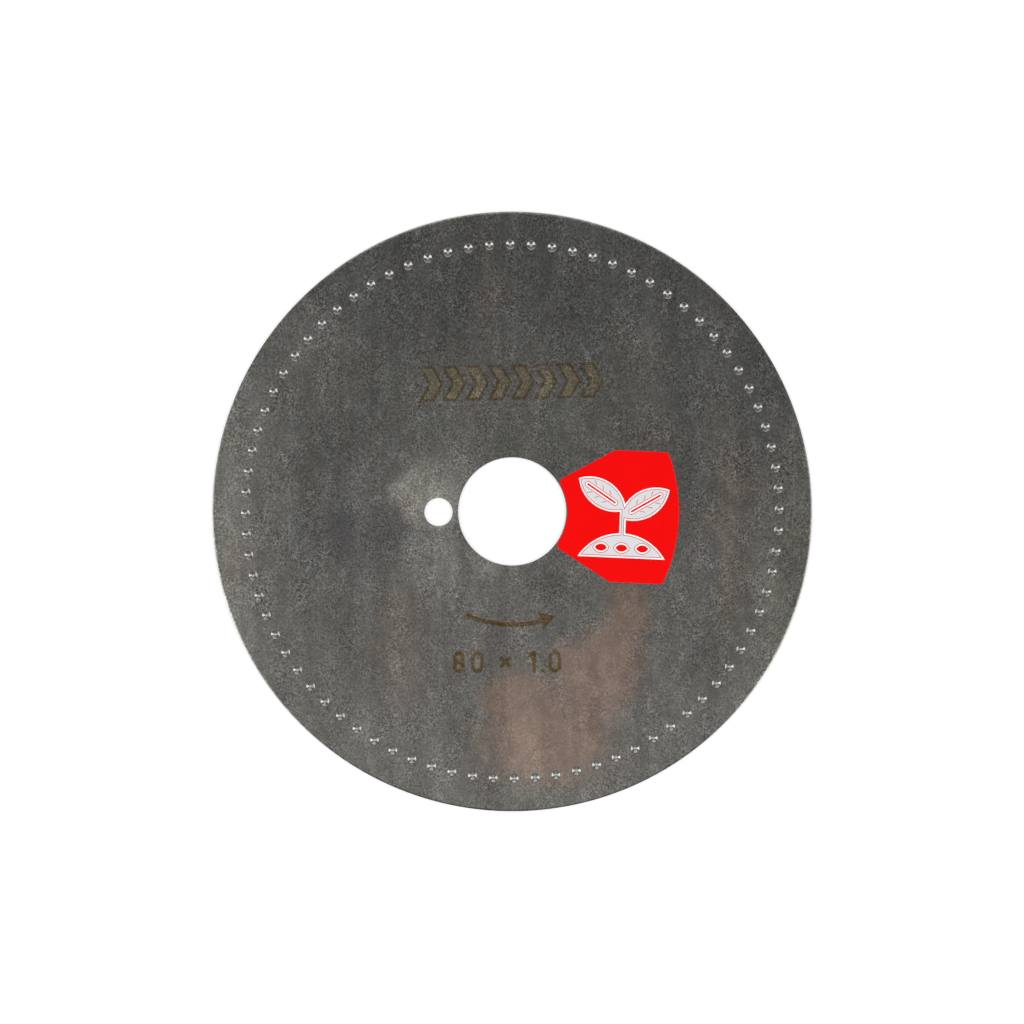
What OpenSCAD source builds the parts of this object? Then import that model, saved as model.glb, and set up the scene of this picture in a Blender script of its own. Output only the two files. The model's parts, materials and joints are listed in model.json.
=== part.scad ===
// Planter seed plate: a thin steel disc that turns in a vacuum seed meter.
// A ring of countersunk holes near the rim holds one seed each.
// The plate lies flat: +Z points out of the countersunk face.
// The origin is on the bore axis, at the back face.
// The drive pin hole is on -X, and the label is on the +X side.

/* [Plate] */
// Outside diameter of the plate
plate_d = 220; // [190:1:300]
// Thickness of the steel sheet
plate_t = 1; // [0.8:0.1:3]
// Chamfer that breaks the edges of the rim, the bore and the pin hole
edge_break = 0.1; // [0.05:0.05:0.2]

/* [Hub] */
// Diameter of the bore that centres the plate on its hub
bore_d = 39.7; // [30:0.1:60]
// Diameter of the hole that the hub's drive pin goes through
pin_hole_d = 10.4; // [6:0.1:14]
// Steel left between the bore and the pin hole
pin_hole_web = 2; // [1:0.1:12]

/* [Seed holes] */
// Number of seed holes in the ring
seed_hole_count = 80; // [20:1:120]
// Distance from the rim to the centres of the seed holes
seed_ring_margin = 12; // [5:0.5:25]
// Diameter of the drilled part of a seed hole
seed_hole_d = 1; // [0.6:0.1:1.6]
// Diameter of the countersink at the plate's face
countersink_d = 3.2; // [2:0.1:3.6]
// Angle across the countersink's cone
countersink_angle = 120; // [100:5:150]

/* [Label] */
// Thickness of the vinyl
label_t = 0.1; // [0.05:0.05:0.3]
// Angle from +X to the middle of the label
label_turn = -3; // [-30:0.5:30]
// Gap between the bore and the label's inner edge
label_bore_gap = 0.3; // [0.2:0.1:3]
// Length of the label from its inner to its outer edge
label_length = 41; // [32:0.1:48]
// Width between the label's parallel edges
label_w = 48.4; // [38:0.2:56]
// Width of the label at its inner edge
label_neck_w = 24; // [14:0.5:28]
// Length over which the label widens from its neck
label_taper = 20.5; // [14:0.5:24]
// Radius of the label's outer corners and shoulders
label_corner_r = 1.8; // [0.5:0.1:3]
// Radius of the two corners at the label's neck
label_neck_r = 2; // [0.5:0.1:3]

/* [Print] */
// Thickness of the ink on the label
ink_t = 0.02; // [0.01:0.01:0.05]
// Bare label between the leaf tips and the label's inner and outer edges
print_side_margin = 3.8; // [3:0.1:8]
// Bare label between the mound and the label's lower edge
print_foot_margin = 9; // [4:0.5:12]
// Width of a leaf
leaf_w = 10; // [5:0.5:12]
// Angle of the leaves above the foot of the print
leaf_tilt = 32; // [15:1:45]
// Step in height between the lower and the upper leaf
leaf_step = 3; // [0:0.5:5]
// Width of the vein left bare along a leaf
vein_w = 0.7; // [0.4:0.1:1.5]
// Ink between the root of a leaf and its vein
vein_root_gap = 5; // [3:0.1:7]
// Ink between the vein and the tip of a leaf
vein_tip_gap = 4; // [2:0.1:6]
// Width of the mound at its foot
mound_w = 32; // [20:0.5:36]
// Height of the mound
mound_h = 9; // [5:0.5:12]
// Height of the stem above the mound, up to the lower leaf
stem_h = 5.5; // [2:0.5:10]
// Width of the stem
stem_w = 2.2; // [1:0.1:4]
// Length of a seed left bare in the mound
seed_l = 4.4; // [2:0.1:6]
// Width of a seed left bare in the mound
seed_w = 2.6; // [1:0.1:4]
// Distance between neighbouring seeds
seed_pitch = 7.6; // [6:0.1:10]
// Height of the seeds above the mound's foot
seed_rise = 3.6; // [2:0.1:5]

/* [Hidden] */
$fn = 180;

// How far a cut runs past the face it opens on
overcut = 1;

plate_r = plate_d / 2;
bore_r = bore_d / 2;
pin_hole_r = pin_hole_d / 2;
pin_hole_x = -(bore_r + pin_hole_web + pin_hole_r);

seed_ring_r = plate_r - seed_ring_margin;
seed_hole_r = seed_hole_d / 2;
countersink_r = countersink_d / 2;
countersink_slope = tan(countersink_angle / 2);
countersink_depth = (countersink_r - seed_hole_r) / countersink_slope;

// The label's outline is worked out about its own middle line, which runs along x from the bore axis.
label_inner_r = bore_r + label_bore_gap;
label_outer_r = label_inner_r + label_length;
label_half = label_w / 2;
neck_half = label_neck_w / 2;
neck_x = sqrt(pow(label_inner_r, 2) - pow(neck_half, 2));
shoulder = [neck_x + label_taper, label_half];

// Direction of the tapered edge, and the direction from that edge into the label
taper_angle = atan2(label_half - neck_half, label_taper);
along_taper = [cos(taper_angle), sin(taper_angle)];
into_label = [sin(taper_angle), -cos(taper_angle)];

// Where a parallel edge meets the outer arc: the rounding touches both
outer_y = label_half - label_corner_r;
outer_round = [sqrt(pow(label_outer_r - label_corner_r, 2) - pow(outer_y, 2)), outer_y];
outer_on_edge = [outer_round.x, label_half];
outer_on_arc = outer_round * label_outer_r / (label_outer_r - label_corner_r);

// Where a parallel edge meets the tapered edge
shoulder_reach = label_corner_r * tan(taper_angle / 2);
shoulder_round = shoulder + [shoulder_reach, -label_corner_r];
shoulder_on_edge = shoulder + [shoulder_reach, 0];
shoulder_on_taper = shoulder - shoulder_reach * along_taper;

// Where the tapered edge meets the inner arc
neck_start = shoulder + label_neck_r * into_label;
neck_dot = neck_start * along_taper;
neck_round_r = label_inner_r + label_neck_r;
neck_run = sqrt(pow(neck_dot, 2) - neck_start * neck_start + pow(neck_round_r, 2)) - neck_dot;
neck_round = neck_start + neck_run * along_taper;
neck_on_taper = neck_round - label_neck_r * into_label;
neck_on_arc = neck_round * label_inner_r / neck_round_r;

// The print stands upright about the middle of the label's length.
print_x = (label_inner_r + label_outer_r) / 2;
mound_y = print_foot_margin - label_half;
mound_top_y = mound_y + mound_h;
stem_foot_y = mound_top_y - stem_w / 2;
// Each leaf's root is on the far edge of the stem, so that leaf and stem join over the stem's whole width.
leaf_root_y = mound_top_y + stem_h;
stem_l = leaf_root_y + leaf_step - stem_foot_y;
leaf_l = (label_length / 2 - print_side_margin + stem_w / 2) / cos(leaf_tilt);
mound_r = (pow(mound_w / 2, 2) + pow(mound_h, 2)) / (2 * mound_h);
vein_l = leaf_l - vein_root_gap - vein_tip_gap;
seed_y = mound_y + seed_rise;

// Half of the steel's section, turned about the bore axis
module plate_section() {
    polygon([
        [bore_r + edge_break, 0],
        [plate_r - edge_break, 0],
        [plate_r, edge_break],
        [plate_r, plate_t - edge_break],
        [plate_r - edge_break, plate_t],
        [bore_r + edge_break, plate_t],
        [bore_r, plate_t - edge_break],
        [bore_r, edge_break]
    ]);
}

// Cutter for a plain hole with both of its edges broken
module plain_hole(r) {
    mouth_r = r + edge_break + overcut;
    rotate_extrude()
        polygon([
            [0, -overcut],
            [mouth_r, -overcut],
            [r, edge_break],
            [r, plate_t - edge_break],
            [mouth_r, plate_t + overcut],
            [0, plate_t + overcut]
        ]);
}

// Cutter for one seed hole: a drilled hole that a cone opens towards the face
module seed_hole() {
    rotate_extrude()
        polygon([
            [0, -overcut],
            [seed_hole_r, -overcut],
            [seed_hole_r, plate_t - countersink_depth],
            [countersink_r + overcut * countersink_slope, plate_t + overcut],
            [0, plate_t + overcut]
        ]);
}

// The steel disc, with its bore, drive pin hole and ring of seed holes
module seed_plate() {
    color("#6b6964")
        difference() {
            rotate_extrude() plate_section();
            translate([pin_hole_x, 0, 0]) plain_hole(pin_hole_r);
            for (i = [0 : seed_hole_count - 1])
                rotate([0, 0, i * 360 / seed_hole_count])
                    translate([seed_ring_r, 0, 0])
                        seed_hole();
        }
}

// The label's outline with its corners cut straight, ready for their roundings
module label_blank() {
    inside_bore = neck_on_arc / 2;
    past_arc = outer_on_arc * (label_outer_r + overcut) / outer_on_arc.x;
    upper = [
        inside_bore,
        neck_on_arc,
        neck_on_taper,
        shoulder_on_taper,
        shoulder_on_edge,
        outer_on_edge,
        outer_on_arc,
        past_arc
    ];
    lower = [for (i = [len(upper) - 1 : -1 : 0]) [upper[i].x, -upper[i].y]];
    difference() {
        intersection() {
            circle(r = label_outer_r);
            polygon(concat(upper, lower));
        }
        circle(r = label_inner_r);
    }
}

// The label's outline with its corners rounded
module label_outline() {
    label_blank();
    for (side = [-1, 1]) {
        translate([outer_round.x, side * outer_round.y]) circle(r = label_corner_r);
        translate([shoulder_round.x, side * shoulder_round.y]) circle(r = label_corner_r);
        translate([neck_round.x, side * neck_round.y]) circle(r = label_neck_r);
    }
}

// Puts a flat shape on the face, at a height above it, in the label's own turn
module on_label(height, thickness) {
    translate([0, 0, plate_t + height])
        rotate([0, 0, label_turn])
            linear_extrude(thickness)
                children();
}

// The vinyl label, stuck on the countersunk face beside the bore
module label() {
    color("#f60101") on_label(0, label_t) label_outline();
}

// A pointed oval from x = 0 to its length, where two arcs of one radius cross
module pointed_oval(l, w) {
    r = (l * l + w * w) / (4 * w);
    intersection() {
        translate([l / 2, r - w / 2]) circle(r = r);
        translate([l / 2, w / 2 - r]) circle(r = r);
    }
}

// A leaf that grows from its root at the origin, with its vein left bare
module leaf() {
    rotate(leaf_tilt)
        difference() {
            pointed_oval(leaf_l, leaf_w);
            translate([vein_root_gap, -vein_w / 2]) square([vein_l, vein_w]);
            for (end = [0, vein_l])
                translate([vein_root_gap + end, 0]) circle(d = vein_w);
        }
}

// A low mound of soil with three seeds left bare in it
module mound() {
    difference() {
        intersection() {
            translate([0, mound_top_y - mound_r]) circle(r = mound_r);
            translate([-mound_w, mound_y]) square([2 * mound_w, mound_h]);
        }
        for (i = [-1 : 1])
            translate([i * seed_pitch - seed_l / 2, seed_y]) pointed_oval(seed_l, seed_w);
    }
}

// The ink on the label: a seedling on a mound, kept inside the label's outline
module label_print() {
    color("#dee0e2")
        on_label(label_t, ink_t)
            intersection() {
                label_outline();
                translate([print_x, 0])
                    union() {
                        mound();
                        translate([-stem_w / 2, stem_foot_y]) square([stem_w, stem_l]);
                        translate([-stem_w / 2, leaf_root_y]) leaf();
                        translate([stem_w / 2, leaf_root_y + leaf_step]) mirror([1, 0]) leaf();
                    }
            }
}

seed_plate();
label();
label_print();
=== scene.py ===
# Planter seed plate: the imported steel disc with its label, dressed and lit for a view from straight above.
from itertools import combinations
import json
import math

import bmesh
import bpy
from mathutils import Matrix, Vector
from mathutils.geometry import delaunay_2d_cdt


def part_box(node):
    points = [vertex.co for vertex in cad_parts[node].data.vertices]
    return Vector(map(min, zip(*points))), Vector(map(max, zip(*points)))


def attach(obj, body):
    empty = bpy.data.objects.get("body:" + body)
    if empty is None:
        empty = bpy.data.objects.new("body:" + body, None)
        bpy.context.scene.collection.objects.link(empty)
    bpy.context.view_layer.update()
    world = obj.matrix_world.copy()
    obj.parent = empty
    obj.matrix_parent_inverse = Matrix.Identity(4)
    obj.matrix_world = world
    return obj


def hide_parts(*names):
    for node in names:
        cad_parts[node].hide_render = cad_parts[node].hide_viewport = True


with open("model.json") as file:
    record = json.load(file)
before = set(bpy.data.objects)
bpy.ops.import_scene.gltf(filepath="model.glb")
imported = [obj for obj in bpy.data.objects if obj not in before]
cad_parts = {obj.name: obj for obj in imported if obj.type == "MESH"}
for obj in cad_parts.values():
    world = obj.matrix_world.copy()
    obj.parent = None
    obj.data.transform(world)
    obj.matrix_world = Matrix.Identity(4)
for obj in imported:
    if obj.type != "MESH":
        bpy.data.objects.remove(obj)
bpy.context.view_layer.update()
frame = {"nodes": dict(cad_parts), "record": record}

# Marks on the seed plate.
# A laser burns them into the steel's surface, so they lie flush: straw-brown lines, some round a pale field.
# A mark is its outer loop, an inner loop that stays clear or None, and a colour whose alpha is its cover.


def on_circle(radius, angle, centre=(0.0, 0.0)):
    """The point of a circle in millimetres at an angle in degrees."""
    turned = math.radians(angle)
    return centre[0] + radius * math.cos(turned), centre[1] + radius * math.sin(turned)


def arc(radius, start, end, steps, centre=(0.0, 0.0)):
    """Points along an arc, with both of its ends."""
    return [on_circle(radius, start + (end - start) * i / steps, centre) for i in range(steps + 1)]


# Two sides that bend by less than this sine count as one straight line
straight_bend = 0.02


def inset(loop, distance):
    """The loop with every side moved to its left, which is inwards for a loop that runs anticlockwise."""
    sides = []
    for here, there in zip(loop, loop[1:] + loop[:1]):
        along = (Vector(there) - Vector(here)).normalized()
        shift = Vector((-along.y, along.x)) * distance
        sides.append((Vector(here) + shift, Vector(there) + shift, along))
    corners = []
    for (last_start, last_end, last_along), (start, _, along) in zip(sides[-1:] + sides[:-1], sides):
        bend = last_along.cross(along)
        if abs(bend) < straight_bend:
            corners.append(tuple((last_end + start) / 2))
        else:
            run = (start - last_start).cross(along) / bend
            corners.append(tuple(last_start + last_along * run))
    return corners


def placed(loop, across, up, turn=0.0):
    """The loop turned about its own origin and moved to its place on the plate."""
    c, s = math.cos(math.radians(turn)), math.sin(math.radians(turn))
    return [(across + x * c - y * s, up + x * s + y * c) for x, y in loop]


def capsule(width, height, steps=16):
    """An upright loop with round ends, centred on its origin."""
    r = width / 2
    straight = height / 2 - r
    return arc(r, 0, 180, steps, (0.0, straight)) + arc(r, 180, 360, steps, (0.0, -straight))


def bar(length, width, turn):
    """A straight stroke, centred on its origin."""
    half_l, half_w = length / 2, width / 2
    corners = [(-half_l, -half_w), (half_l, -half_w), (half_l, half_w), (-half_l, half_w)]
    return placed(corners, 0.0, 0.0, turn)


def srgb(colour, alpha=1.0):
    """A hex colour as linear red, green, blue and alpha, by the sRGB curve."""
    parts = [int(colour[i:i + 2], 16) / 255 for i in (1, 3, 5)]
    return (*(p / 12.92 if p <= 0.04045 else ((p + 0.055) / 1.055) ** 2.4 for p in parts), alpha)


unmarked = srgb("#000000", 0.0)
burnt_line = srgb("#5a4a2a", 0.85)
faint_line = srgb("#5f4c26", 0.6)
faint_field = srgb("#8b7f60", 0.5)
marks = []

# A row of outlined chevrons above the bore
chevron_count = 8
chevron_pitch = 8.4
chevron_h = 13.0
chevron_arm = 5.6
chevron_tip = 3.6
chevron_line = 1.0
row_up = 47.5
row_turn = 1.0
chevron = [
    (0.0, -chevron_h / 2),
    (chevron_arm, -chevron_h / 2),
    (chevron_arm + chevron_tip, 0.0),
    (chevron_arm, chevron_h / 2),
    (0.0, chevron_h / 2),
    (chevron_tip, 0.0),
]
row_length = chevron_pitch * (chevron_count - 1) + chevron_arm + chevron_tip
for i in range(chevron_count):
    in_row = placed(chevron, i * chevron_pitch - row_length / 2, 0.0)
    outer = placed(in_row, 0.0, row_up, row_turn)
    inner = inset(outer, chevron_line)
    marks.append((outer, inner, faint_line))
    marks.append((inner, None, faint_field))

# A curved arrow below the bore, round the plate's own axis
arrow_r = 41.5
arrow_w = 1.6
arrow_start, arrow_neck, arrow_end = 245.0, 284.0, 292.0
arrow_steps = 24
head_half = 3.4
arrow = [
    *arc(arrow_r + arrow_w / 2, arrow_start, arrow_neck, arrow_steps),
    on_circle(arrow_r + head_half, arrow_neck),
    on_circle(arrow_r, arrow_end),
    on_circle(arrow_r - head_half, arrow_neck),
    *arc(arrow_r - arrow_w / 2, arrow_neck, arrow_start, arrow_steps),
]
marks.append((arrow, None, burnt_line))

# The plain size mark under it: how many holes, and how wide they are drilled
figure_h = 8.0
figure_w = 4.8
stroke = 1.35
figure_up = -55.2
eye_w = 4.5
eye_h = (figure_h + stroke) / 2
eye_up = (figure_h - eye_h) / 2
times_l = 5.0
times_turn = 45.0
flag_tip_across, flag_tip_down = 1.5, 1.9
flag_foot_across, flag_foot_down = 0.7, 2.6
stem_half, figure_half = stroke / 2, figure_h / 2
one = [
    (-stem_half, -figure_half),
    (stem_half, -figure_half),
    (stem_half, figure_half),
    (-stem_half, figure_half),
    (-stem_half - flag_tip_across, figure_half - flag_tip_down),
    (-stem_half - flag_foot_across, figure_half - flag_foot_down),
    (-stem_half, figure_half - flag_tip_down),
]
zero = (capsule(figure_w, figure_h), capsule(figure_w - 2 * stroke, figure_h - 2 * stroke))
eye = (capsule(eye_w, eye_h), capsule(eye_w - 2 * stroke, eye_h - 2 * stroke))
eight_at, zero_at, times_at, one_at, point_at, last_at = -20.0, -13.2, -3.0, 7.6, 10.8, 15.2
for loops, across, up in (
    (eye, eight_at, eye_up),
    (eye, eight_at, -eye_up),
    (zero, zero_at, 0.0),
    ((bar(times_l, stroke, times_turn), None), times_at, 0.0),
    ((bar(times_l, stroke, -times_turn), None), times_at, 0.0),
    ((one, None), one_at, 0.0),
    ((bar(stroke, stroke, 0), None), point_at, (stroke - figure_h) / 2),
    (zero, last_at, 0.0),
):
    outer, inner = (loop and placed(loop, across, figure_up + up) for loop in loops)
    marks.append((outer, inner, burnt_line))

# Seed plate.
# A disc punched from cold-rolled stainless sheet in its mill finish. The punch rolls the rim's upper edge.
# It has a bore, a drive pin hole and a ring of countersunk holes with soft lips that take one seed each.
MM = 0.001
mounts = {mount["name"]: mount for mount in frame["record"]["mounts"]}
plate_r = 110.0
plate_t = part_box("seed_plate")[1].z / MM
edge_break = 0.1
bore_r = mounts["hub_bore"]["dims"]["r_mm"]
pin_hole_r = mounts["drive_pin_hole"]["dims"]["r_mm"]
pin_hole_at = (mounts["drive_pin_hole"]["pos_m"][0] / MM, 0.0)
seed_hole_count = 80
seed_ring_r = 98.0
seed_hole_r = 0.5
countersink_r = 1.6
countersink_angle = 120.0
countersink_slope = math.radians(90 - countersink_angle / 2)
countersink_depth = (countersink_r - seed_hole_r) * math.tan(countersink_slope)
lip_reach = 0.22
lip_round_r = lip_reach / math.tan(countersink_slope / 2)
mouth_r = countersink_r + lip_reach
edge_roll_w = 0.9
edge_roll_slope = math.radians(20)
edge_roll_r = edge_roll_w / math.sin(edge_roll_slope)
sector_r = 92.0
sector_steps = 6
mouth_steps = 40
roll_steps = 4
bore_steps = 160
pin_hole_steps = 72
# An outline is filled only inside it, and points closer than this count as one
fill_inside = 1
fill_tolerance = 1e-5


def circle(radius, steps, centre=(0.0, 0.0)):
    """Points round a circle, anticlockwise."""
    return arc(radius, 0, 360, steps, centre)[:-1]


def begin_mesh():
    """An empty mesh whose faces carry two values: freshly cut or not, and the colour of the mark on them."""
    mesh = bmesh.new()
    mesh.faces.layers.float.new("cut")
    mesh.faces.layers.float_color.new("mark")
    return mesh


def add_face(mesh, corners, cut, mark):
    """A new face with the values that it carries."""
    made = mesh.faces.new(corners)
    made[mesh.faces.layers.float["cut"]] = cut
    made[mesh.faces.layers.float_color["mark"]] = mark


def loft(mesh, rings, closed, cut=0.0):
    """Faces between neighbouring rings, each given as its points and its height."""
    rows = [[mesh.verts.new((x * MM, y * MM, height * MM)) for x, y in ring] for ring, height in rings]
    for low, high in zip(rows, rows[1:]):
        for i in range(len(low) if closed else len(low) - 1):
            j = (i + 1) % len(low)
            add_face(mesh, (low[i], low[j], high[j], high[i]), cut, unmarked)


def flat_face(mesh, outline, openings, height, marked=()):
    """Fills an outline apart from its openings. The marks in it become faces that carry their colour."""
    loops = [outline, *openings]
    fields = []
    for outer, inner, colour in marked:
        fields.append((len(loops), len(loops) + 1 if inner else None, colour))
        loops += [outer, inner] if inner else [outer]
    points, shapes = [], []
    for loop in loops:
        shapes.append(list(range(len(points), len(points) + len(loop))))
        points += [Vector(point) for point in loop]
    places, _, faces, _, _, face_shapes = delaunay_2d_cdt(points, [], shapes, fill_inside, fill_tolerance)
    corners = [mesh.verts.new((x * MM, y * MM, height * MM)) for x, y in places]
    opened = set(range(1, len(openings) + 1))
    for face, shapes_here in zip(faces, face_shapes):
        here = set(shapes_here)
        if 0 not in here or here & opened:
            continue
        mark = unmarked
        for outer, inner, colour in fields:
            if outer in here and inner not in here:
                mark = colour
        add_face(mesh, [corners[i] for i in face], 0.0, mark)


def as_object(mesh, name):
    """A new object in the scene, from a mesh in the making."""
    data = bpy.data.meshes.new(name)
    mesh.to_mesh(data)
    mesh.free()
    made = bpy.data.objects.new(name, data)
    bpy.context.scene.collection.objects.link(made)
    return made


# One hole's share of the rim, from the inner edge of the ring out to the cut edge of the sheet
half_pitch = 180.0 / seed_hole_count
hole_at = (seed_ring_r, 0.0)


def sector_arc(radius):
    """An arc across that share."""
    return arc(radius, -half_pitch, half_pitch, sector_steps)


def hole_circle(radius):
    """A circle round the axis of its hole."""
    return circle(radius, mouth_steps, hole_at)


sector = begin_mesh()
for height, hole_r, flat_r in (
    (0.0, seed_hole_r, plate_r - edge_break),
    (plate_t, mouth_r, plate_r - edge_roll_w),
):
    flat_face(sector, sector_arc(flat_r) + sector_arc(sector_r)[::-1], [hole_circle(hole_r)], height)
rolled_edge = []
for step in range(roll_steps + 1):
    tilt = edge_roll_slope * step / roll_steps
    roll_r = plate_r - edge_roll_w + edge_roll_r * math.sin(tilt)
    rolled_edge.append((sector_arc(roll_r), plate_t - edge_roll_r * (1 - math.cos(tilt))))
loft(sector, rolled_edge, closed=False)
cut_edge = [
    (sector_arc(plate_r - edge_break), 0.0),
    (sector_arc(plate_r), edge_break),
    rolled_edge[-1],
]
loft(sector, cut_edge, closed=False, cut=1.0)
hole_wall = [
    (hole_circle(seed_hole_r), 0.0),
    (hole_circle(seed_hole_r), plate_t - countersink_depth),
]
for step in range(roll_steps):
    tilt = countersink_slope * (1 - step / (roll_steps - 1))
    lip_r = mouth_r - lip_round_r * math.sin(tilt)
    hole_wall.append((hole_circle(lip_r), plate_t - lip_round_r * (1 - math.cos(tilt))))
loft(sector, hole_wall[:-1], closed=True, cut=1.0)
loft(sector, hole_wall[-2:], closed=True)
sector_object = as_object(sector, "rim_sector")

# The web between the hub and that ring, with the marks in its upper face
web = begin_mesh()
web_edge = placed(circle(sector_r, seed_hole_count * sector_steps), 0.0, 0.0, half_pitch)
hub_holes = ((bore_r, bore_steps, (0.0, 0.0)), (pin_hole_r, pin_hole_steps, pin_hole_at))
mouths = [circle(r + edge_break, steps, at) for r, steps, at in hub_holes]
flat_face(web, web_edge, mouths, 0.0)
flat_face(web, web_edge, mouths, plate_t, marks)
for r, steps, at in hub_holes:
    wall = [
        (circle(r + edge_break, steps, at), 0.0),
        (circle(r, steps, at), edge_break),
        (circle(r, steps, at), plate_t - edge_break),
        (circle(r + edge_break, steps, at), plate_t),
    ]
    loft(web, wall, closed=True, cut=1.0)
plate = as_object(web, "seed_plate_sheet")


def node(tree, kind, inputs=None, **settings):
    """Adds a node. An input is a value, or the output or outputs that feed it. Gives its outputs by name."""
    made = tree.nodes.new(kind)
    for name, value in settings.items():
        setattr(made, name, value)
    for key, value in (inputs or {}).items():
        socket = next((s for s in made.inputs if s.identifier == key), None) or made.inputs[key]
        sources = [value] if isinstance(value, bpy.types.NodeSocket) else value
        if isinstance(sources, list):
            for source in sources:
                tree.links.new(source, socket)
        else:
            socket.default_value = value
    outputs = {s.name: s for s in reversed(made.outputs)}
    outputs.update({s.identifier: s for s in made.outputs})
    return outputs


def new_material(name):
    """An empty material: its tree, and the place on the piece in metres."""
    made = bpy.data.materials.new(name)
    made.use_nodes = True
    made.node_tree.nodes.clear()
    return made, made.node_tree, node(made.node_tree, "ShaderNodeTexCoord")["Object"]


# The eye sees light about as this root of it
eye_gamma = 2.2
octave_fade = 0.6


def uneven_shade(tree, place, width, length, swing, detail):
    """A shade about 1 that wanders over marks of a width and length in millimetres, evenly to the eye."""
    stretched = node(tree, "ShaderNodeMapping", {
        "Vector": place, "Scale": (1 / width, 1 / length, 1 / width)})
    wander = node(tree, "ShaderNodeTexNoise", {
        "Vector": stretched["Vector"], "Scale": 1 / MM, "Detail": detail, "Roughness": octave_fade})
    centred = node(tree, "ShaderNodeMath", {
        "Value": wander["Fac"], "Value_001": 0.5}, operation="SUBTRACT")["Value"]
    seen = node(tree, "ShaderNodeMath", {
        "Value": centred, "Value_001": swing, "Value_002": 1.0}, operation="MULTIPLY_ADD")["Value"]
    return node(tree, "ShaderNodeMath", {"Value": seen, "Value_001": eye_gamma}, operation="POWER")["Value"]


# Cold-rolled stainless: a grey half-mirror, dulled by the fine pickled grain of the mill finish.
# Over it lie soft streaks along the rolling direction, soft lighter and darker patches and a patch of rust.
# The patches are partly stains and tarnish and partly painted reflections, such as the pale band along the
# left rim.
# A patch is its centre and its reach in millimetres, its colour and how strongly it covers the steel.
sheet_grey = srgb("#6b6b69")
patch_wander = 20.0
patch_detail = 1.5
patch_core = 0.3
stains_and_painted_reflections = (
    ((-57.0, -8.0), (22.0, 16.0), srgb("#5a5a5e"), 0.6),
    ((-29.0, -18.5), (15.0, 24.0), srgb("#8d8d89"), 0.75),
    ((-12.0, -28.0), (17.0, 12.0), srgb("#7c7b76"), 0.4),
    ((13.0, -28.0), (14.0, 11.0), srgb("#5c5c5b"), 0.7),
    ((-28.0, 9.0), (20.0, 17.0), srgb("#a3a29c"), 0.8),
    ((-30.0, 7.0), (14.0, 16.0), srgb("#a09e98"), 0.75),
    ((-34.5, -2.5), (9.0, 7.0), srgb("#a09e98"), 0.6),
    ((-11.0, -16.0), (8.0, 8.0), srgb("#8d8c86"), 0.65),
    ((-69.0, 52.0), (24.0, 24.0), srgb("#7b7a76"), 0.7),
    ((-79.0, 68.0), (16.0, 21.0), srgb("#83827f"), 0.75),
    ((-44.0, 75.0), (19.0, 19.0), srgb("#61615f"), 0.7),
    ((6.0, 92.0), (80.0, 34.0), srgb("#656563"), 0.7),
    ((-65.0, -48.0), (22.0, 36.0), srgb("#656563"), 0.7),
    ((-22.0, -76.0), (11.0, 26.0), srgb("#5c5b59"), 0.5),
    # Painted reflection of something bright far to the left: a pale band along the left rim
    ((-112.0, 16.0), (37.0, 118.0), srgb("#8a8984"), 0.8),
    ((114.0, -34.0), (47.0, 90.0), srgb("#7c7b75"), 0.7),
    ((79.0, 2.0), (9.0, 62.0), srgb("#797269"), 0.5),
    ((45.0, 36.0), (16.0, 41.0), srgb("#75706a"), 0.6),
    ((-43.0, -48.0), (10.0, 34.0), srgb("#756f69"), 0.5),
    ((0.0, 38.0), (75.0, 42.0), srgb("#73736f"), 0.7),
    ((-8.0, 80.0), (5.0, 21.0), srgb("#79726c"), 0.6),
    ((29.6, 61.0), (1.4, 9.0), srgb("#92928e"), 0.6),
)
rust = srgb("#8a776c")
rust_cover = 0.75
rust_film = 0.5
rust_smears = (
    ((12.0, -82.0), (32.0, 28.0)),
    ((29.0, -63.0), (21.0, 23.0)),
    ((39.0, -50.0), (16.0, 22.0)),
    ((43.0, -37.0), (13.0, 20.0)),
    ((0.0, -69.0), (17.0, 17.0)),
)
cool_tint = (0.975, 1.0, 1.02)
warm_tint = (1.035, 1.0, 0.955)
# The layers of unevenness: the width and length of their marks in millimetres, their swing and their detail
tarnish_layer = (5.0, 16.0, 0.88, 3.0)
burn_layer = (7.0, 7.0, 0.41, 2.0)
grain_patch_layer = (8.0, 12.0, 1.25, 2.0)
mottle_layer = (4.0, 6.0, 0.3, 3.0)
cloud_layer = (22.0, 45.0, 0.38, 3.0)
streak_layer = (6.0, 140.0, 0.19, 2.0)
# The swing of the grain itself changes from patch to patch, and is less under rust
grain_w, grain_l, grain_detail = 0.6, 0.7, 3.0
grain_swing = 1.3
grain_relief = 0.005
grain_relief_strength = 0.2
sheet_roughness = 0.26
grain_roughness = 0.06
sheet_steel, tree, place = new_material("mill_finish_stainless")
swirl = node(tree, "ShaderNodeTexNoise", {
    "Vector": place, "Scale": 1 / (patch_wander * MM), "Detail": patch_detail})["Color"]
swirl = node(tree, "ShaderNodeVectorMath", {
    "Vector": swirl, "Vector_001": (0.5, 0.5, 0.5)}, operation="SUBTRACT")["Vector"]
strayed = node(tree, "ShaderNodeVectorMath", {
    "Vector": swirl, "Vector_001": (patch_wander * MM, patch_wander * MM, 0.0), "Vector_002": place},
    operation="MULTIPLY_ADD")["Vector"]


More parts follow.
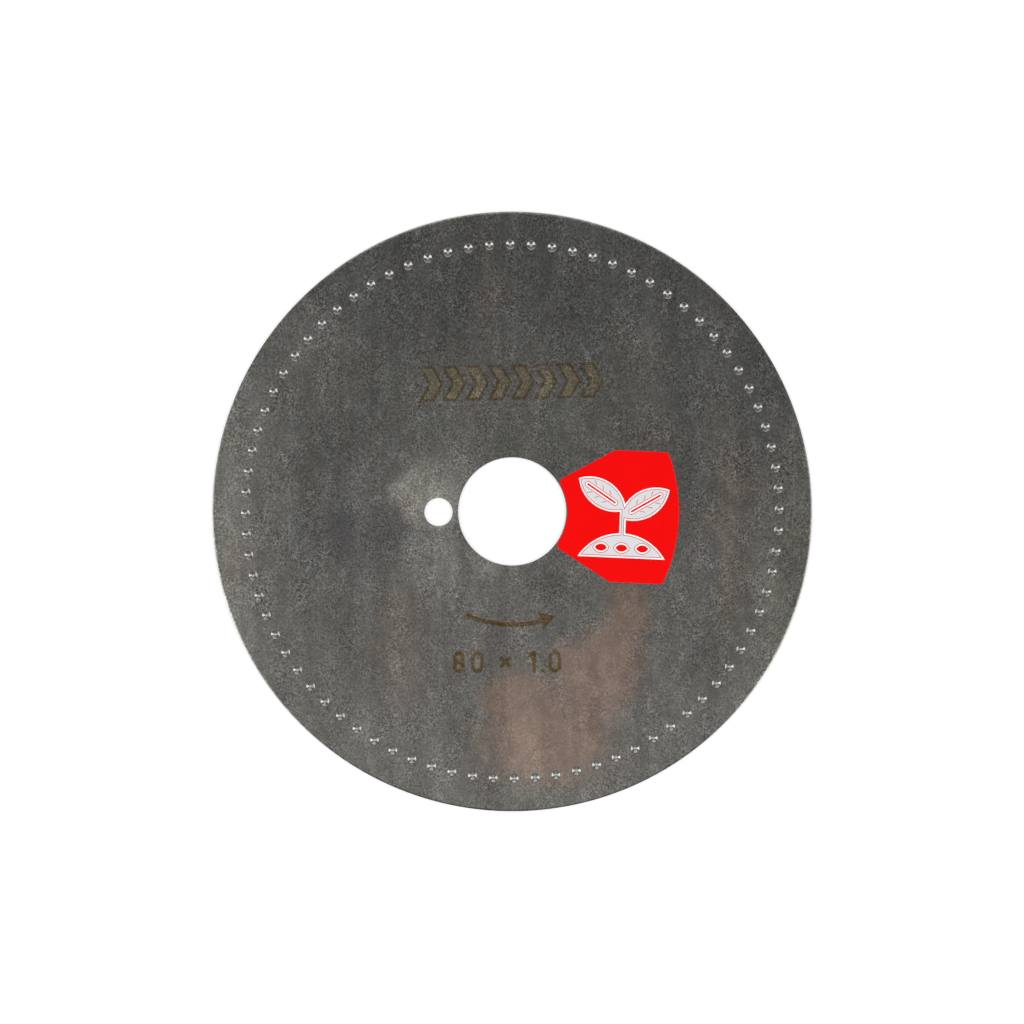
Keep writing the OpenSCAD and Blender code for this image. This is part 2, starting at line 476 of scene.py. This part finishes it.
def patch_cover(centre, reach, strength):
    """How much of the steel a patch covers: all its strength near its centre, nothing past its reach."""
    offset = node(tree, "ShaderNodeVectorMath", {
        "Vector": strayed, "Vector_001": (centre[0] * MM, centre[1] * MM, 0.0)},
        operation="SUBTRACT")["Vector"]
    spread = node(tree, "ShaderNodeVectorMath", {
        "Vector": offset, "Vector_001": (reach[0] * MM, reach[1] * MM, 1.0)},
        operation="DIVIDE")["Vector"]
    away = node(tree, "ShaderNodeVectorMath", {"Vector": spread}, operation="LENGTH")["Value"]
    return node(tree, "ShaderNodeMapRange", {
        "Value": away, "From Min": patch_core, "From Max": 1.0, "To Min": strength, "To Max": 0.0},
        interpolation_type="SMOOTHSTEP")["Result"]


colour = sheet_grey
for centre, reach, patch_colour, strength in stains_and_painted_reflections:
    colour = node(tree, "ShaderNodeMix", {
        "Factor_Float": patch_cover(centre, reach, strength), "A_Color": colour, "B_Color": patch_colour},
        data_type="RGBA")["Result_Color"]
rusted = 0.0
for centre, reach in rust_smears:
    rusted = node(tree, "ShaderNodeMath", {
        "Value": rusted, "Value_001": patch_cover(centre, reach, 1.0)}, operation="MAXIMUM")["Value"]
tarnish = node(tree, "ShaderNodeMath", {
    "Value": uneven_shade(tree, place, *tarnish_layer), "Value_001": 0.5}, operation="SUBTRACT")["Value"]
tint = node(tree, "ShaderNodeMix", {
    "Factor_Float": tarnish, "A_Vector": cool_tint, "B_Vector": warm_tint},
    data_type="VECTOR")["Result_Vector"]
colour = node(tree, "ShaderNodeVectorMath", {
    "Vector": colour, "Vector_001": tint}, operation="MULTIPLY")["Vector"]
rust_share = node(tree, "ShaderNodeMath", {
    "Value": rusted, "Value_001": rust_cover}, operation="MULTIPLY")["Value"]
colour = node(tree, "ShaderNodeMix", {
    "Factor_Float": rust_share, "A_Color": colour, "B_Color": rust}, data_type="RGBA")["Result_Color"]
mark = node(tree, "ShaderNodeAttribute", attribute_name="mark")
burn = node(tree, "ShaderNodeMath", {
    "Value": mark["Alpha"], "Value_001": uneven_shade(tree, place, *burn_layer)},
    operation="MULTIPLY", use_clamp=True)["Value"]
colour = node(tree, "ShaderNodeMix", {
    "Factor_Float": burn, "A_Color": colour, "B_Color": mark["Color"]}, data_type="RGBA")["Result_Color"]
bare_share = node(tree, "ShaderNodeMath", {
    "Value": rusted, "Value_001": -rust_film, "Value_002": 1.0}, operation="MULTIPLY_ADD")["Value"]
grain_depth = node(tree, "ShaderNodeMath", {
    "Value": uneven_shade(tree, place, *grain_patch_layer), "Value_001": grain_swing},
    operation="MULTIPLY")["Value"]
grain_depth = node(tree, "ShaderNodeMath", {
    "Value": grain_depth, "Value_001": bare_share}, operation="MULTIPLY")["Value"]
grain = uneven_shade(tree, place, grain_w, grain_l, grain_depth, grain_detail)
shade = grain
for layer in (mottle_layer, cloud_layer, streak_layer):
    shade = node(tree, "ShaderNodeMath", {
        "Value": shade, "Value_001": uneven_shade(tree, place, *layer)}, operation="MULTIPLY")["Value"]
colour = node(tree, "ShaderNodeVectorMath", {"Vector": colour, "Scale": shade}, operation="SCALE")["Vector"]
dull = node(tree, "ShaderNodeMath", {
    "Value": grain, "Value_001": grain_roughness, "Value_002": sheet_roughness},
    operation="MULTIPLY_ADD")["Value"]
relief = node(tree, "ShaderNodeBump", {
    "Height": grain, "Strength": grain_relief_strength, "Distance": grain_relief * MM})["Normal"]
metal = node(tree, "ShaderNodeBsdfPrincipled", {
    "Base Color": colour, "Metallic": 1.0, "Roughness": dull, "Normal": relief})["BSDF"]
node(tree, "ShaderNodeOutputMaterial", {"Surface": metal})

# Freshly cut stainless: the same steel without its grey skin, brighter, with the fine chatter of the tool
cut_bright = srgb("#84837f")
cut_roughness = 0.25
chatter_layer = (0.3, 0.3, 0.22, 1.0)
cut_steel, tree, place = new_material("cut_stainless")
colour = node(tree, "ShaderNodeVectorMath", {
    "Vector": cut_bright[:3], "Scale": uneven_shade(tree, place, *chatter_layer)},
    operation="SCALE")["Vector"]
metal = node(tree, "ShaderNodeBsdfPrincipled", {
    "Base Color": colour, "Metallic": 1.0, "Roughness": cut_roughness})["BSDF"]
node(tree, "ShaderNodeOutputMaterial", {"Surface": metal})

for half_made in (plate, sector_object):
    half_made.data.materials.append(sheet_steel)

# The sector is turned round the axis once for each seed hole and welded to the web
ring = bpy.data.node_groups.new("seed_hole_ring", "GeometryNodeTree")
ring_inputs = {
    name: ring.interface.new_socket(name=name, in_out="INPUT", socket_type=kind).identifier
    for name, kind in (
        ("Web", "NodeSocketGeometry"),
        ("Sector", "NodeSocketObject"),
        ("Hole count", "NodeSocketInt"),
        ("Weld distance", "NodeSocketFloat"),
        ("Sheet", "NodeSocketMaterial"),
        ("Cut", "NodeSocketMaterial"),
    )
}
ring.interface.new_socket(name="Plate", in_out="OUTPUT", socket_type="NodeSocketGeometry")
given = node(ring, "NodeGroupInput")
pitch = node(ring, "ShaderNodeMath", {
    "Value": math.tau, "Value_001": given["Hole count"]}, operation="DIVIDE")
angle = node(ring, "ShaderNodeMath", {
    "Value": node(ring, "GeometryNodeInputIndex")["Index"], "Value_001": pitch["Value"]},
    operation="MULTIPLY")
turn = node(ring, "FunctionNodeAxisAngleToRotation", {"Axis": (0.0, 0.0, 1.0), "Angle": angle["Value"]})
sectors = node(ring, "GeometryNodeInstanceOnPoints", {
    "Points": node(ring, "GeometryNodePoints", {"Count": given["Hole count"]})["Points"],
    "Instance": node(ring, "GeometryNodeObjectInfo", {"Object": given["Sector"]})["Geometry"],
    "Rotation": turn["Rotation"]})
realised = node(ring, "GeometryNodeRealizeInstances", {"Geometry": sectors["Instances"]})
whole = node(ring, "GeometryNodeJoinGeometry", {"Geometry": [given["Web"], realised["Geometry"]]})
welded = node(ring, "GeometryNodeMergeByDistance", {
    "Geometry": whole["Geometry"], "Distance": given["Weld distance"]})
sheet_set = node(ring, "GeometryNodeSetMaterial", {
    "Geometry": welded["Geometry"], "Material": given["Sheet"]})
fresh = node(ring, "GeometryNodeInputNamedAttribute", {"Name": "cut"}, data_type="FLOAT")
cut_set = node(ring, "GeometryNodeSetMaterial", {
    "Geometry": sheet_set["Geometry"], "Selection": fresh["Attribute"], "Material": given["Cut"]})
node(ring, "NodeGroupOutput", {"Plate": cut_set["Geometry"]})

weld_distance = 0.001
hard_angle = math.radians(20)
level_normal = 0.9999


def make_real(piece):
    """Turns the object and its modifiers into a plain mesh, faces outwards and hard edges marked."""
    real = bpy.data.meshes.new_from_object(piece.evaluated_get(bpy.context.evaluated_depsgraph_get()))
    real.name = piece.name
    piece.modifiers.clear()
    piece.data = real
    mesh = bmesh.new()
    mesh.from_mesh(real)
    bmesh.ops.remove_doubles(mesh, verts=mesh.verts, dist=weld_distance * MM)
    bmesh.ops.recalc_face_normals(mesh, faces=mesh.faces)
    for face in mesh.faces:
        face.smooth = True
    for edge in mesh.edges:
        level_sides = sum(abs(face.normal.z) > level_normal for face in edge.link_faces)
        edge.smooth = level_sides != 1 and edge.calc_face_angle() < hard_angle
    mesh.to_mesh(real)
    mesh.free()


modifier = plate.modifiers.new("ring", "NODES")
modifier.node_group = ring
for name, value in (
    ("Sector", sector_object),
    ("Hole count", seed_hole_count),
    ("Weld distance", weld_distance * MM),
    ("Sheet", sheet_steel),
    ("Cut", cut_steel),
):
    modifier[ring_inputs[name]] = value
make_real(plate)
bpy.data.objects.remove(sector_object)
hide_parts("seed_plate")
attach(plate, "root")

# Label.
# Red self-adhesive vinyl, die-cut to clear the bore and pressed flat onto the steel.
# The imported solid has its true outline, so it stays and takes the vinyl's finish.
vinyl_red = srgb("#f60101")
vinyl_roughness = 0.45
vinyl_gloss = 0.08
peel_layer = (1.2, 1.2, 0.22, 2.0)
peel_relief = 0.01
peel_relief_strength = 0.15
ageing_layer = (14.0, 14.0, 0.05, 2.0)
vinyl, tree, place = new_material("red_vinyl_film")
colour = node(tree, "ShaderNodeVectorMath", {
    "Vector": vinyl_red[:3], "Scale": uneven_shade(tree, place, *ageing_layer)},
    operation="SCALE")["Vector"]
relief = node(tree, "ShaderNodeBump", {
    "Height": uneven_shade(tree, place, *peel_layer),
    "Strength": peel_relief_strength, "Distance": peel_relief * MM})["Normal"]
film = node(tree, "ShaderNodeBsdfPrincipled", {
    "Base Color": colour, "Roughness": vinyl_roughness, "Specular IOR Level": vinyl_gloss,
    "Normal": relief})["BSDF"]
node(tree, "ShaderNodeOutputMaterial", {"Surface": film})
label = frame["nodes"]["label"]
label.data.materials.clear()
label.data.materials.append(vinyl)

# Print on the label.
# Pale screen-printed ink: a seedling on a mound. It has a white edge, a red line inside that and fine veins.
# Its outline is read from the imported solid, and the edge, the line and the veins are worked out from that.
white_edge_w = 0.55
red_line_w = 0.25
white_ink = srgb("#ffffff")
red_line = srgb("#d8302c")
print_low, print_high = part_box("label_print")
print_middle = (print_low.x + print_high.x) / 2 / MM
rib_min_l = 6.0
side_vein_l, side_vein_w, side_vein_lean, side_vein_off = 1.9, 0.22, 42.0, 2.05
side_vein_places = (0.3, 0.55, 0.8)
upward_normal = 0.9


def outline_loops(solid):
    """The closed loops round the solid's upper face in millimetres, with that face on their left."""
    mesh = bmesh.new()
    mesh.from_mesh(solid.data)
    bmesh.ops.remove_doubles(mesh, verts=mesh.verts, dist=weld_distance * MM)
    after = {}
    for face in mesh.faces:
        if face.normal.z < upward_normal:
            continue
        for side in face.loops:
            if side.link_loop_radial_next.face.normal.z < upward_normal:
                after[side.vert] = side.link_loop_next.vert
    loops = []
    while after:
        start, here = after.popitem()
        loop = [start]
        while here is not start:
            loop.append(here)
            here = after.pop(here)
        loops.append([(v.co.x / MM, v.co.y / MM) for v in loop])
    mesh.free()
    return loops


def signed_area(loop):
    """Positive for a loop that runs anticlockwise."""
    return sum(a[0] * b[1] - b[0] * a[1] for a, b in zip(loop, loop[1:] + loop[:1])) / 2


# The print's outer edge has the largest area, and the loops left bare in it run clockwise
bare_loops = sorted(outline_loops(frame["nodes"]["label_print"]), key=signed_area)
print_edge = bare_loops.pop()
print_marks = []
for loop in [print_edge, *bare_loops]:
    white_inside = inset(loop, white_edge_w)
    red_inside = inset(loop, white_edge_w + red_line_w)
    for near, far, ink in ((loop, white_inside, white_ink), (white_inside, red_inside, red_line)):
        if loop is print_edge:
            print_marks.append((near, far, ink))
        else:
            print_marks.append((far[::-1], near[::-1], ink))
for loop in bare_loops:
    root, tip = max(combinations(loop, 2), key=lambda ends: math.dist(*ends))
    rib_l = math.dist(root, tip)
    if rib_l < rib_min_l:
        continue
    if abs(root[0] - print_middle) > abs(tip[0] - print_middle):
        root, tip = tip, root
    rib_turn = math.degrees(math.atan2(tip[1] - root[1], tip[0] - root[0]))
    for along in side_vein_places:
        for side in (-1, 1):
            vein = bar(side_vein_l, side_vein_w, side * side_vein_lean)
            on_rib = placed(vein, along * rib_l, side * side_vein_off)
            print_marks.append((placed(on_rib, *root, rib_turn), None, red_line))
openings = [loop[::-1] for loop in bare_loops]
seedling = begin_mesh()
flat_face(seedling, print_edge, openings, print_low.z / MM)
flat_face(seedling, print_edge, openings, print_high.z / MM, print_marks)
for loop in [print_edge, *bare_loops]:
    loft(seedling, [(loop, print_low.z / MM), (loop, print_high.z / MM)], closed=True)
print_piece = as_object(seedling, "label_print_ink")

# Screen ink: a thin satin coat over the vinyl, a little uneven from the mesh it was drawn through
pale_ink = srgb("#dee0e2")
ink_roughness = 0.45
ink_gloss = 0.2
weave_layer = (0.5, 0.5, 0.025, 1.0)
screen_ink, tree, place = new_material("screen_printed_ink")
mark = node(tree, "ShaderNodeAttribute", attribute_name="mark")
colour = node(tree, "ShaderNodeMix", {
    "Factor_Float": mark["Alpha"], "A_Color": pale_ink, "B_Color": mark["Color"]},
    data_type="RGBA")["Result_Color"]
colour = node(tree, "ShaderNodeVectorMath", {
    "Vector": colour, "Scale": uneven_shade(tree, place, *weave_layer)}, operation="SCALE")["Vector"]
coat = node(tree, "ShaderNodeBsdfPrincipled", {
    "Base Color": colour, "Roughness": ink_roughness, "Specular IOR Level": ink_gloss})["BSDF"]
node(tree, "ShaderNodeOutputMaterial", {"Surface": coat})
print_piece.data.materials.append(screen_ink)
make_real(print_piece)
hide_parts("label_print")
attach(print_piece, "root")

# Floor.
# A plain white table that turns up into a low rim far away, so that it fills the background of low views.
# To the camera and to the steel it is white, but not under the seed holes, and it keeps the plate's shadow.
floor_level = -0.02
floor_flat_r, floor_rim_r, floor_rim_h = 3000.0, 5000.0, 1400.0
floor_steps = 96
rim_steps = 8
floor_mesh = begin_mesh()
flat_face(floor_mesh, circle(floor_flat_r, floor_steps), [], floor_level)
floor_rim = []
for step in range(rim_steps + 1):
    part = step / rim_steps
    rim_r = floor_flat_r + (floor_rim_r - floor_flat_r) * part
    floor_rim.append((circle(rim_r, floor_steps), floor_level + floor_rim_h * part ** 2))
loft(floor_mesh, floor_rim, closed=True)
floor = as_object(floor_mesh, "floor")

# White paper, whose glow shows to the camera and in reflections, and lights nothing
paper_white = srgb("#d4d4d4")
glow_white = srgb("#ffffff")
paper_layer = (60.0, 60.0, 0.01, 2.0)
near_glow, far_glow = 0.42, 0.85
glow_near_r, glow_far_r = 500.0, 1600.0
shade_w = 6.0
paper, tree, place = new_material("white_paper")
colour = node(tree, "ShaderNodeVectorMath", {
    "Vector": paper_white[:3], "Scale": uneven_shade(tree, place, *paper_layer)},
    operation="SCALE")["Vector"]
sheet = node(tree, "ShaderNodeBsdfDiffuse", {"Color": colour})["BSDF"]
from_axis = node(tree, "ShaderNodeVectorMath", {"Vector": place}, operation="LENGTH")["Value"]
shaded = node(tree, "ShaderNodeMath", {
    "Value": from_axis, "Value_001": seed_ring_r * MM, "Value_002": shade_w * MM},
    operation="COMPARE")["Value"]
strength = node(tree, "ShaderNodeMapRange", {
    "Value": from_axis, "From Min": glow_near_r * MM, "From Max": glow_far_r * MM,
    "To Min": near_glow, "To Max": far_glow})["Result"]
strength = node(tree, "ShaderNodeMath", {
    "Value": shaded, "Value_001": -near_glow, "Value_002": strength}, operation="MULTIPLY_ADD")["Value"]
glow = node(tree, "ShaderNodeEmission", {"Color": glow_white, "Strength": strength})["Emission"]
lit = node(tree, "ShaderNodeAddShader", {"Shader": sheet, "Shader_001": glow})["Shader"]
ray = node(tree, "ShaderNodeLightPath")
seen = ray["Is Camera Ray"]
for kind in ("Is Glossy Ray", "Is Transmission Ray"):
    seen = node(tree, "ShaderNodeMath", {"Value": seen, "Value_001": ray[kind]}, operation="MAXIMUM")["Value"]
shown = node(tree, "ShaderNodeMixShader", {"Fac": seen, "Shader": sheet, "Shader_001": lit})["Shader"]
node(tree, "ShaderNodeOutputMaterial", {"Surface": shown})
floor.data.materials.append(paper)

# Light.
# A large softbox far out on each side puts the two glints in every countersink.
# One panel overhead and one beyond the plate light its face. Low strips in front and behind light its edges.
target = Vector((0.0, -0.03, 0.0))
# Watts for each square metre of a lamp's face that shows a radiance of 1
face_watts = 4.0


def softbox(name, at, size, radiance, colour="#ffffff"):
    """A rectangular lamp that faces the plate, in metres. The radiance is what its face shows."""
    lamp = bpy.data.lights.new(name, "AREA")
    lamp.shape = "RECTANGLE"
    lamp.size, lamp.size_y = size
    lamp.energy = face_watts * radiance * size[0] * size[1]
    lamp.color = srgb(colour)[:3]
    made = bpy.data.objects.new(name, lamp)
    made.location = at
    made.rotation_euler = (Vector(at) - target).to_track_quat("Z", "Y").to_euler()
    made.visible_camera = False
    bpy.context.scene.collection.objects.link(made)


softbox("left_softbox", at=(-0.8, -0.24, 0.72), size=(0.7, 0.52), radiance=3.1)
softbox("right_softbox", at=(0.8, -0.24, 0.72), size=(0.7, 0.52), radiance=3.1)
softbox("overhead_panel", at=(-0.05, -0.35, 1.3), size=(0.7, 0.5), radiance=0.94, colour="#fff9f3")
softbox("back_panel", at=(0.0, 0.75, 0.9), size=(1.2, 0.4), radiance=1.65)
softbox("front_strip", at=(0.0, -0.6, 0.2), size=(0.8, 0.12), radiance=0.7)
softbox("back_strip", at=(0.0, 0.9, 0.36), size=(1.2, 0.14), radiance=0.5)
room_radiance = 0.32
world = bpy.data.worlds.new("studio")
world.use_nodes = True
world.node_tree.nodes.clear()
room = node(world.node_tree, "ShaderNodeBackground", {
    "Color": srgb("#ffffff"), "Strength": room_radiance})["Background"]
node(world.node_tree, "ShaderNodeOutputWorld", {"Surface": room})
bpy.context.scene.world = world

# Camera.
# It looks straight down from far above through a long lens, turned a touch as the plate lies in the picture.
view_w = 375.7
view_across, view_up = -0.07, -0.185
view_turn = -0.43
lens = 85.0
sensor = 36.0
camera = bpy.data.cameras.new("camera")
camera.lens = lens
camera.sensor_width = sensor
camera_object = bpy.data.objects.new("camera", camera)
camera_object.location = (view_across * MM, view_up * MM, (plate_t + view_w * lens / sensor) * MM)
camera_object.rotation_euler = (0.0, 0.0, math.radians(view_turn))
bpy.context.scene.collection.objects.link(camera_object)
bpy.context.scene.camera = camera_object
bpy.context.scene.view_settings.view_transform = "Standard"
